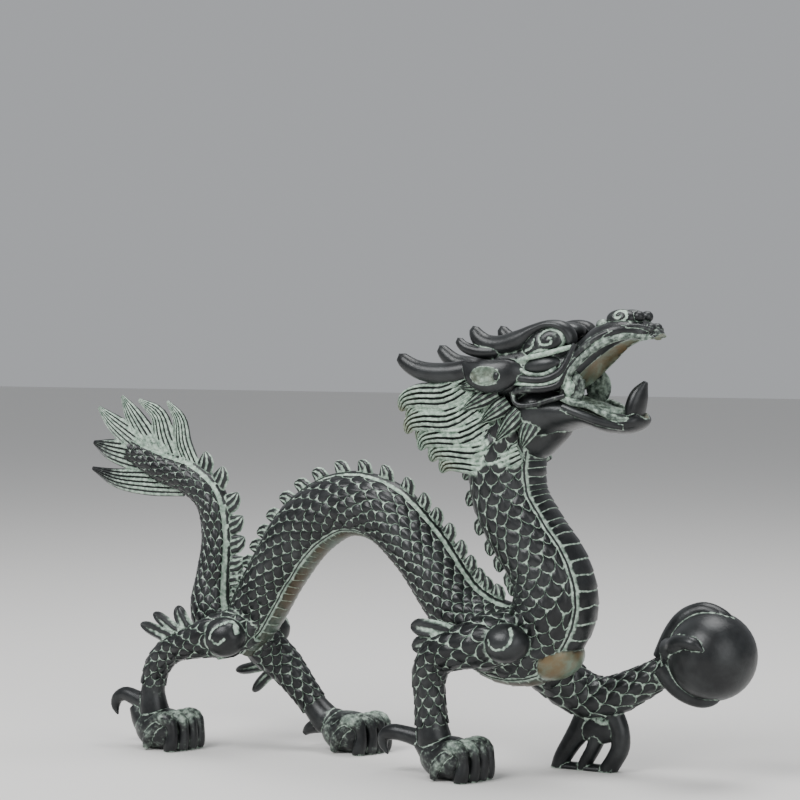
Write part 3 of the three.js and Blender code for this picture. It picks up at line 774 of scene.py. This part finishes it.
def face_side(side):
    """Horn, ear, brow, eye, cheek, lips and nostril, for one side of the head."""
    def ridge(points, **options):
        """A smooth sweep; its points give x, y outwards, z, and the half-sizes across and in its plane."""
        return plain_tube([
            (p[0], side * p[1], p[2], p[3], p[4] if len(p) > 4 else p[3]) for p in points
        ], **options)

    def egg(centre, radii, **options):
        """An egg on this side of the head."""
        return ellipsoid((centre[0], side * centre[1], centre[2]), radii, **options)

    lift = 2.5 if side > 0 else 0.0
    horn = ridge([
        (54, 16, 206, 5.8), (42, 18, 203.8, 5.6), (29 + lift, 19, 203.8 + lift, 5.2),
        (20 + lift, 19, 206 + lift, 4.6), (13.6 + lift, 19, 209.8 + lift * 1.4, 3.7),
        (10.4 + lift, 19, 213.4 + lift * 1.6, 2.6),
    ], sides=16, rings=20, domed=True)
    ear = [
        ridge([(82, 17, 205, 3, 3), (75, 21, 204.5, 4.2, 7), (66, 23, 202.5, 4.6, 8.4), (57, 23, 203.8, 4.2, 7.2),
               (50, 22.5, 208.8, 1.2, 1.4)], sides=22, rings=18, dust=0.05),
    ]
    brow = [
        ridge([(104.5, 13, 217.2, 4, 2), (105, 13, 222, 4.4, 2.8), (101.3, 13.5, 226.8, 5, 2.8),
               (94, 14, 228.4, 5, 2.2), (85.5, 14.5, 225.6, 5, 3), (77, 15, 220.6, 5.6, 5), (67, 15.5, 217.8, 5.2, 5),
               (59, 15.5, 218.6, 4.8, 4.8), (53.8, 15.3, 222.4, 4, 4), (51, 15, 227.6, 2.2, 2.2)],
              sides=16, rings=38, domed=True),
        ridge([(68, 17.5, 214.5, 3, 3.4), (56, 18.5, 214.6, 3.2, 3.2), (47.5, 18.5, 217.4, 2.8, 2.8),
               (43.8, 18, 221.6, 1.9, 1.9)], sides=12, rings=14, domed=True),
        carve(egg((91.5, 15.3, 218.6), (12.6, 5.2, 7.4), lean=22, sides=44, rings=24, dust=0.28),
              BROW_SPIRAL, side, width=0.7, depth=0.6),
    ]
    eye = [
        egg((91, 17.3, 208), (11, 4.6, 4.6), lean=9, sides=24, rings=10, dust=0.02),
        ridge([(76, 19, 208.6, 1.1), (84, 20.6, 211.6, 1.3), (93, 20.6, 213.4, 1.3), (102, 18.8, 215.9, 1.3),
               (108, 16.6, 217.6, 1)], sides=8, rings=16, groove=0.95),
        ridge([(80, 20.6, 206.4, 0.9), (86, 21.4, 203.8, 1), (94, 21, 203.8, 1), (100, 19.6, 207, 0.9)],
              sides=8, rings=10, groove=0.7),
    ]
    cheek = [
        ridge([(73, 19, 203, 1.6), (84, 21, 201.2, 2.1), (94, 20.8, 201.2, 2.1), (102, 19.2, 205, 2),
               (106, 17.6, 212, 1.9), (109, 16.8, 218.6, 1.6)], sides=10, rings=20, dust=0.12),
        ridge([(74, 19.5, 199, 0.8), (84, 21.3, 198.7, 0.9), (95, 21, 199, 0.9), (103, 19.4, 203, 0.9),
               (108, 17.8, 211, 0.9)], sides=8, rings=16, groove=0.9),
        ridge([(76, 19.5, 194.5, 1.7), (84, 21.2, 196.2, 2), (94, 20.8, 196.6, 2), (101.5, 19.2, 199, 1.9),
               (104, 18.4, 204, 1.7), (110, 17.6, 211.5, 1.5)], sides=8, rings=18, dust=0.3),
        ridge([(75, 19, 194.6, 1.3), (78.5, 20.6, 188.8, 1.4), (88, 20.6, 188.6, 1.4), (97, 19.6, 191.2, 1.4),
               (104, 18, 193.2, 1.5)], sides=8, rings=16, dust=0.25, groove=0.45),
        egg((106, 17, 197), (2.8, 2.6, 4.2), lean=-8, sides=12, rings=6, groove=0.8),
    ]
    lips = [
        ridge([(101, 16.5, 192.6, 1.9), (107, 16.8, 190, 1.8), (115, 15.8, 188.6, 1.7), (122, 14.6, 185.4, 1.7),
               (130, 11.6, 182, 1.7), (136, 8, 181, 1.6)], sides=8, rings=18, groove=0.62),
        ridge([(102, 16, 187.4, 2.6), (112, 16.2, 184, 2.3), (123, 13.8, 180.2, 2.2), (132, 10.5, 178.4, 2)],
              sides=8, rings=16, dust=0.1),
        ridge([(103.4, 17.2, 196.5, 1.9), (105.6, 17.6, 203.6, 1.9), (113, 17.2, 212, 1.8), (122.5, 15.8, 218.6, 1.8),
               (131.7, 13.2, 222.2, 1.8), (139, 9.6, 223, 1.8), (145, 5, 220.4, 1.8)],
              sides=10, rings=28, groove=0.6),
        ridge([(105, 17.2, 207.5, 1.6), (111, 16.8, 214.6, 2), (120, 15.6, 221.6, 2), (130, 13, 225.8, 1.9),
               (139, 9.6, 227, 1.8), (145, 5.6, 225.4, 1.5)], sides=8, rings=20, dust=0.3),
    ]
    muzzle = [
        carve(egg((129, 6, 231), (8, 4.9, 4.7), sides=34, rings=18, dust=0.3), NOSTRIL_SPIRAL, side, 0.7, 0.6),
        egg((137.6, 5, 232), (3.2, 3, 3), sides=12, rings=6, dust=0.15),
        egg((119.5, 7.5, 227.8), (3.6, 3.6, 3.2), sides=12, rings=6, dust=0.5),
        egg((143.6, 3.6, 226.4), (2.8, 2.8, 2.6), sides=10, rings=6, dust=0.1),
        egg((146, 4.2, 221.6), (2.4, 2.8, 2.4), sides=10, rings=6, dust=0.3),
    ]
    return [horn] + ear + brow + eye + cheek + lips + muzzle


def jaw_tufts(side):
    """The zigzag of pointed combed tufts behind the jaw, over the roots of the mane."""
    forms = []
    for first, second, tip in zip(TUFT_CORNERS, TUFT_CORNERS[1:], TUFT_TIPS):
        first, second, tip = (np.array(p, float) for p in (first, second, tip))
        middle, half = (first + second) / 2, np.linalg.norm(second - first) / 2
        stations = []
        for part, y, thick, wide in ((-0.35, 16.5, 3.4, 1), (0.1, 18.8, 3.6, 1.02), (0.6, 20.2, 2.8, 0.58),
                                     (1.02, 21, 0.8, 0.08)):
            x, z = middle + (tip - middle) * part
            stations.append((x, side * (y - 1.2 * (200 - z) / 30), z, thick, half * wide))
        forms.append(lock(stations, grooves=4, depth=0.42, rings=7, dust=0.05))
    return forms


def hollows():
    """What is cut out of the head: the mouth with its ribbed palate, its floor, and the bowls of the ears."""
    ribs = lambda share, angle: 0.35 * np.sin(share * 2 * np.pi * 9) * np.clip(np.cos(angle), 0, 1)
    forms = [
        plain_tube([(x, 0, z, across, tall) for x, z, across, tall in MOUTH],
                   sides=34, rings=44, swell=ribs, groove=0.1, dust=0.42, warmth=1.0),
        ellipsoid(MOUTH_FLOOR["centre"], MOUTH_FLOOR["radii"], lean=MOUTH_FLOOR["lean"],
                  sides=28, rings=14, groove=0.2, dust=0.75, warmth=0.2),
    ]
    for side in (-1, 1):
        forms.append(ellipsoid((64.2, side * 28.4, 202.8), (8.8, 4.6, 4.9), sides=22, rings=12,
                               groove=0.25, dust=0.62, warmth=0.35))
    return forms


def head():
    """The head, raised and roaring: what is joined, what is cut away, and what is added after the cutting."""
    stations = lambda rows: [(x, 0, z, across, tall) for x, z, across, tall in rows]
    joined = [
        plain_tube(stations(SKULL), sides=34, rings=46, domed=True, dust=0.2),
        plain_tube(stations(JAW), sides=32, rings=34, domed=True, dust=0.02),
        ellipsoid((97, 0, 225), (9, 9, 4.6), sides=20, rings=12, dust=0.2),
        ellipsoid((144, 0, 222.6), (4.8, 6.8, 4.4), sides=18, rings=10, dust=0.3),
        plain_tube([(98, 0, 184, 10, 6), (90, 0, 178, 12, 9), (80, 0, 170, 13, 10), (74, 0, 161, 11, 8)],
                   sides=24, rings=12, domed=True),
    ]
    joined += mirrored(face_side)
    added = [
        plain_tube([(133, 0, 182, 8, 4), (134, 0, 188, 8, 4.6), (136, 0, 194.4, 6, 4), (139.2, 0, 200, 1.6, 1.2)],
                   sides=20, rings=16, dust=0.12),
        plain_tube([(103, 0, 189, 7, 2.4), (112, 0, 188.4, 7.5, 2.6), (121, 0, 185.6, 7, 2.4), (129, 0, 184, 5, 2.2)],
                   sides=18, rings=14, domed=True, dust=0.7),
    ]
    for side in (-1, 1):
        added.append(ellipsoid((69.8, side * 23.8, 202.6), (2.5, 2.6, 2.9), sides=14, rings=8, dust=0.2))
        added.append(ellipsoid((106.5, side * 15.2, 196.8), (7, 2.2, 8.8), sides=20, rings=12, dust=0.6))
        added += jaw_tufts(side)
    return joined, hollows(), added


# ---------------------------------------------------------------- joining


def boolean(target, name, forms, operation):
    """Joins forms to the target object, or cuts them from it, by one exact operation."""
    group = bpy.data.collections.new(name)
    makers = [form.as_object(f"{name}_{k}") for k, form in enumerate(forms)]
    for made in makers:
        group.objects.link(made)
    modifier = target.modifiers.new(name, "BOOLEAN")
    modifier.operation = operation
    modifier.operand_type = "COLLECTION"
    modifier.collection = group
    modifier.solver = "MANIFOLD"
    bpy.context.view_layer.update()
    graph = bpy.context.evaluated_depsgraph_get()
    mesh = bpy.data.meshes.new_from_object(target.evaluated_get(graph))
    target.modifiers.clear()
    before, target.data = target.data, mesh
    bpy.data.meshes.remove(before)
    bpy.data.collections.remove(group)
    for made in makers:
        data = made.data
        bpy.data.objects.remove(made)
        bpy.data.meshes.remove(data)
    return target


def ground_block():
    """The block below the ground that the soles are cut flat on."""
    size = (300.0, 150.0, 30.0)
    corners = [(x, y, z - size[2]) for x in (-size[0], size[0]) for y in (-size[1], size[1]) for z in (0, size[2])]
    faces = [(0, 1, 3, 2), (4, 6, 7, 5), (0, 4, 5, 1), (2, 3, 7, 6), (0, 2, 6, 4), (1, 5, 7, 3)]
    return Form(corners, faces, dust=0.3)


def read_finish(mesh, name):
    """A finish of the joined mesh, from 0 to 1; the points made by the joining itself come back as -1."""
    values = np.zeros(len(mesh.vertices), np.float32)
    mesh.attributes[name].data.foreach_get("value", values)
    return values - 1


def settle_finish(mesh):
    """Lets the patina gather along the creases where two forms meet."""
    for name, in_crease in (("groove", 0.75), ("dust", 0.35), ("warmth", 0.0)):
        values = read_finish(mesh, name)
        values = np.where(values < -0.01, in_crease, np.clip(values, 0, 1))
        mesh.attributes[name].data.foreach_set("value", values.astype(np.float32))


def shells(work):
    """The faces of a mesh in lists, one for each separate shell, the largest first."""
    left = set(work.faces)
    found = []
    for seed in work.faces:
        if seed not in left:
            continue
        left.remove(seed)
        reached = [seed]
        for face in reached:
            for edge in face.edges:
                for beside in edge.link_faces:
                    if beside in left:
                        left.remove(beside)
                        reached.append(beside)
        found.append(reached)
    return sorted(found, key=len, reverse=True)


def clean(mesh):
    """Leaves the one shell of the casting, without the crumbs and the doubled faces that joining leaves."""
    work = bmesh.new()
    work.from_mesh(mesh)
    bmesh.ops.triangulate(work, faces=work.faces)
    together = {}
    for face in work.faces:
        together.setdefault(frozenset(point.index for point in face.verts), []).append(face)
    doubled = [face for faces in together.values() if len(faces) > 1 for face in faces]
    bmesh.ops.delete(work, geom=doubled, context="FACES")
    crumbs = [face for shell in shells(work)[1:] for face in shell]
    if len(crumbs) > MOST_CRUMB_FACES:
        raise RuntimeError(f"{len(crumbs)} faces have come loose from the casting")
    bmesh.ops.delete(work, geom=crumbs, context="FACES")
    work.to_mesh(mesh)
    work.free()
    if mesh.validate():
        raise RuntimeError("the joined casting is not a sound mesh")


def build_casting(sizes):
    """The whole dragon as one closed mesh."""
    head_forms, cut_away, added = head()
    skull = head_forms[0].as_object(PIECE)
    bpy.context.scene.collection.objects.link(skull)
    boolean(skull, "face", head_forms[1:], "UNION")
    boolean(skull, "hollows", cut_away, "DIFFERENCE")
    rest = list(added)
    rest.append(ellipsoid((91, 0, 61), (14, 16.5, 11), lean=22, sides=32, rings=16, dust=0.2, warmth=1.0))
    for stretch in TRUNK.values():
        rest.append(scaled_trunk(stretch, sizes.scale_relief, sizes.belly_relief))
        rest += spine_leaves(stretch, sizes.leaf_height)
    rest += limbs(sizes.scale_relief) + elbow_tuft() + pearl() + tail_fin() + mane()
    boolean(skull, "body", rest, "UNION")
    boolean(skull, "ground", [ground_block()], "DIFFERENCE")
    clean(skull.data)
    return skull


# ---------------------------------------------------------------- bronze


def link(tree, source, socket, target, name):
    """Joins a node's output to another node's input."""
    tree.links.new(source.outputs[socket], target.inputs[name])


def attribute_node(tree, name):
    """A node that reads one of the casting's finishes."""
    node = tree.nodes.new("ShaderNodeAttribute")
    node.attribute_name = name
    return node


def noise_node(tree, place, scale, detail=4.0, roughness=0.55):
    """Noise over the object's own space."""
    node = tree.nodes.new("ShaderNodeTexNoise")
    node.inputs["Scale"].default_value = scale
    node.inputs["Detail"].default_value = detail
    node.inputs["Roughness"].default_value = roughness
    link(tree, place, "Object", node, "Vector")
    return node


def maths(tree, operation, first, second=None, third=None):
    """A maths node over outputs or plain numbers."""
    node = tree.nodes.new("ShaderNodeMath")
    node.operation = operation
    for slot, value in zip(node.inputs, (first, second, third)):
        if value is None:
            continue
        if isinstance(value, (int, float)):
            slot.default_value = value
        else:
            tree.links.new(value, slot)
    return node.outputs[0]


def ramp(tree, value, low, high):
    """A smooth step from 0 at low to 1 at high."""
    node = tree.nodes.new("ShaderNodeMapRange")
    node.interpolation_type = "SMOOTHSTEP"
    tree.links.new(value, node.inputs["Value"])
    node.inputs["From Min"].default_value = low
    node.inputs["From Max"].default_value = high
    return node.outputs["Result"]


def blend_colour(tree, factor, first, second):
    """A mix of two colours, each a plain colour or an output."""
    node = tree.nodes.new("ShaderNodeMix")
    node.data_type = "RGBA"
    tree.links.new(factor, node.inputs["Factor"])
    for name, value in (("A", first), ("B", second)):
        socket = next(s for s in node.inputs if s.name == name and s.type == "RGBA")
        if isinstance(value, bpy.types.NodeSocket):
            tree.links.new(value, socket)
        else:
            socket.default_value = (*value, 1.0)
    return next(s for s in node.outputs if s.type == "RGBA")


def patinated_bronze(colours):
    """Near-black bronze with pale verdigris in the hollows, a dusting on the hair, and brown inside the mouth."""
    material = bpy.data.materials.new("patinated_bronze")
    material.use_nodes = True
    tree = material.node_tree
    shader = tree.nodes["Principled BSDF"]
    place = tree.nodes.new("ShaderNodeTexCoord")
    groove = attribute_node(tree, "groove").outputs["Fac"]
    dust = attribute_node(tree, "dust").outputs["Fac"]
    warmth = attribute_node(tree, "warmth").outputs["Fac"]
    cloud = noise_node(tree, place, 60.0, 5.0, 0.62).outputs["Fac"]
    speckle = noise_node(tree, place, 420.0, 4.0, 0.6).outputs["Fac"]
    grain = noise_node(tree, place, 1500.0, 3.0, 0.6).outputs["Fac"]

    broken = maths(tree, "MULTIPLY_ADD", speckle, 0.9, -0.45)
    line = ramp(tree, maths(tree, "ADD", groove, maths(tree, "MULTIPLY", broken, 0.7)), 0.42, 0.86)
    patches = maths(tree, "ADD", maths(tree, "MULTIPLY_ADD", cloud, 1.1, -0.55), broken)
    powder = ramp(tree, maths(tree, "ADD", dust, patches), 0.32, 0.95)
    pale = maths(tree, "MAXIMUM", line, maths(tree, "MULTIPLY", powder, 0.85))

    metal = blend_colour(tree, ramp(tree, cloud, 0.35, 0.7), colours.metal_dark, colours.metal_worn)
    green = blend_colour(tree, ramp(tree, speckle, 0.3, 0.7), colours.verdigris_deep, colours.verdigris)
    skin = blend_colour(tree, maths(tree, "MULTIPLY", pale, 0.92), metal, green)
    brown = blend_colour(tree, ramp(tree, cloud, 0.35, 0.7), colours.mouth_brown, colours.verdigris_deep)
    tinted = blend_colour(tree, maths(tree, "MULTIPLY", warmth, 0.75), skin, brown)
    tree.links.new(tinted, shader.inputs["Base Color"])
    tree.links.new(maths(tree, "MULTIPLY_ADD", pale, -0.3, 0.3), shader.inputs["Metallic"])
    worn = maths(tree, "MULTIPLY_ADD", speckle, 0.16, 0.26)
    tree.links.new(maths(tree, "MULTIPLY_ADD", pale, 0.42, worn), shader.inputs["Roughness"])

    bump = tree.nodes.new("ShaderNodeBump")
    bump.inputs["Strength"].default_value = 0.35
    bump.inputs["Distance"].default_value = 0.0004
    height = maths(tree, "ADD", maths(tree, "MULTIPLY", grain, 0.35), maths(tree, "MULTIPLY", speckle, 0.65))
    tree.links.new(height, bump.inputs["Height"])
    link(tree, bump, "Normal", shader, "Normal")
    return material


# ---------------------------------------------------------------- add-on


class DragonSizes(bpy.types.PropertyGroup):
    """Depths of the carving, in modelling millimetres."""

    scale_relief: FloatProperty(
        name="Scale relief", description="How far a scale's free edge stands over the next row, in millimetres",
        default=0.75, min=0.1, max=2.0)
    belly_relief: FloatProperty(
        name="Belly relief", description="How far the rim of a belly plate stands out, in millimetres",
        default=0.6, min=0.1, max=2.0)
    leaf_height: FloatProperty(
        name="Leaf height", description="Height of the leaves down the spine, in millimetres",
        default=6.4, min=2.0, max=9.0)


class DragonColours(bpy.types.PropertyGroup):
    """Colours of the bronze and its patina."""

    metal_dark: FloatVectorProperty(
        name="Dark metal", description="Colour of the dark skin", subtype="COLOR", default=(0.009, 0.010, 0.011))
    metal_worn: FloatVectorProperty(
        name="Worn metal", description="Colour where the dark skin has thinned", subtype="COLOR",
        default=(0.030, 0.033, 0.034))
    verdigris: FloatVectorProperty(
        name="Verdigris", description="Pale mint patina in the hollows", subtype="COLOR", default=(0.56, 0.69, 0.58))
    verdigris_deep: FloatVectorProperty(
        name="Deep verdigris", description="Greener patina below the pale one", subtype="COLOR",
        default=(0.20, 0.30, 0.23))
    mouth_brown: FloatVectorProperty(
        name="Mouth brown", description="Brown bloom inside the mouth", subtype="COLOR", default=(0.20, 0.14, 0.065))


class DragonStage(bpy.types.PropertyGroup):
    """The floor, the light and the camera."""

    floor_colour: FloatVectorProperty(
        name="Floor", description="Colour of the floor", subtype="COLOR", default=(0.74, 0.73, 0.71))
    lens: FloatProperty(name="Lens", description="Focal length in millimetres", default=112.9, min=20.0, max=300.0)
    azimuth: FloatProperty(
        name="Azimuth", description="How far the camera stands round from the dragon's right side",
        subtype="ANGLE", unit="ROTATION", default=math.radians(30.0))


class DRAGON_OT_casting(bpy.types.Operator):
    """Build the dragon as one bronze casting with its patina"""

    bl_idname = "dragon.casting"
    bl_label = "Dragon casting"
    bl_options = {"REGISTER", "UNDO"}

    def execute(self, context):
        casting = build_casting(context.scene.dragon_sizes)
        mesh = casting.data
        if not mesh.polygons:
            raise RuntimeError("the forms of the dragon did not join")
        settle_finish(mesh)
        mesh.shade_smooth()
        mesh.set_sharp_from_angle(angle=math.radians(55))
        mesh.materials.clear()
        mesh.materials.append(patinated_bronze(context.scene.dragon_colours))
        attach(casting, BODY)
        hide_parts(NODE)
        return {"FINISHED"}


class DRAGON_OT_stage(bpy.types.Operator):
    """Set out the pale floor, the soft lights and the camera"""

    bl_idname = "dragon.stage"
    bl_label = "Stage"
    bl_options = {"REGISTER", "UNDO"}

    def execute(self, context):
        stage = context.scene.dragon_stage
        floor(stage.floor_colour)
        lights()
        camera(stage.lens, stage.azimuth)
        return {"FINISHED"}


class DRAGON_PT_panel(bpy.types.Panel):
    """The dragon's operators and settings"""

    bl_idname = "DRAGON_PT_panel"
    bl_label = "Dragon"
    bl_space_type = "VIEW_3D"
    bl_region_type = "UI"
    bl_category = "Dragon"

    def draw(self, context):
        for operator in (DRAGON_OT_casting, DRAGON_OT_stage):
            self.layout.operator(operator.bl_idname)
        for group in ("dragon_sizes", "dragon_colours", "dragon_stage"):
            settings = getattr(context.scene, group)
            for name in settings.__annotations__:
                self.layout.prop(settings, name)


def plain_material(name, colour, roughness):
    """A matt material for the stage."""
    material = bpy.data.materials.new(name)
    material.use_nodes = True
    shader = material.node_tree.nodes["Principled BSDF"]
    shader.inputs["Base Color"].default_value = (*colour, 1.0)
    shader.inputs["Roughness"].default_value = roughness
    return material


def floor(colour):
    """A wide pale floor under the feet."""
    half = 6.0
    level = CAD_BOX[0].z - 0.0002
    mesh = bpy.data.meshes.new("floor")
    mesh.from_pydata([(-half, -half, level), (half, -half, level), (half, half, level), (-half, half, level)],
                     [], [(0, 1, 2, 3)])
    mesh.materials.append(plain_material("floor_paper", colour, 0.8))
    made = bpy.data.objects.new("floor", mesh)
    bpy.context.scene.collection.objects.link(made)


def area_light(name, place, aim, size, power):
    """A soft square light turned towards a point."""
    data = bpy.data.lights.new(name, "AREA")
    data.size = size
    data.energy = power
    made = bpy.data.objects.new(name, data)
    made.location = place
    made.rotation_euler = (Vector(aim) - Vector(place)).to_track_quat("-Z", "Y").to_euler()
    bpy.context.scene.collection.objects.link(made)


def lights():
    """A pale room, a large key from above the camera's left, and a weaker fill from the right."""
    world = bpy.data.worlds.new("room")
    world.use_nodes = True
    background = world.node_tree.nodes["Background"]
    background.inputs["Color"].default_value = (0.75, 0.77, 0.80, 1.0)
    background.inputs["Strength"].default_value = 0.55
    bpy.context.scene.world = world
    middle = (CAD_BOX[0] + CAD_BOX[1]) / 2
    area_light("key", (-0.35, -1.1, 1.3), middle, 0.9, 26.0)
    area_light("top", (0.1, 0.3, 1.4), middle, 0.8, 14.0)
    area_light("fill", (1.3, -0.7, 0.6), middle, 1.0, 7.0)


def camera(lens, azimuth):
    """A long lens, a little above the mouth, looking just below level."""
    reach, height, tilt = 1300.0, 229.0, math.radians(1.76)
    data = bpy.data.cameras.new("camera")
    data.lens = lens
    data.sensor_width = 36.0
    made = bpy.data.objects.new("camera", data)
    made.location = to_frame((reach * math.sin(azimuth), -reach * math.cos(azimuth), height))
    forward = Vector((-math.sin(azimuth) * math.cos(tilt), math.cos(azimuth) * math.cos(tilt), -math.sin(tilt)))
    made.rotation_euler = forward.to_track_quat("-Z", "Y").to_euler()
    bpy.context.scene.collection.objects.link(made)
    bpy.context.scene.camera = made


CLASSES = (DragonSizes, DragonColours, DragonStage, DRAGON_OT_casting, DRAGON_OT_stage, DRAGON_PT_panel)


def register():
    """Adds the classes and the scene's settings."""
    for item in CLASSES:
        bpy.utils.register_class(item)
    bpy.types.Scene.dragon_sizes = PointerProperty(type=DragonSizes)
    bpy.types.Scene.dragon_colours = PointerProperty(type=DragonColours)
    bpy.types.Scene.dragon_stage = PointerProperty(type=DragonStage)


def unregister():
    """Takes the scene's settings and the classes away again."""
    for name in ("dragon_sizes", "dragon_colours", "dragon_stage"):
        delattr(bpy.types.Scene, name)
    for item in reversed(CLASSES):
        bpy.utils.unregister_class(item)


def main():
    """Builds the dragon and its stage."""
    register()
    bpy.ops.dragon.casting()
    bpy.ops.dragon.stage()


if __name__ == "__main__":
    main()
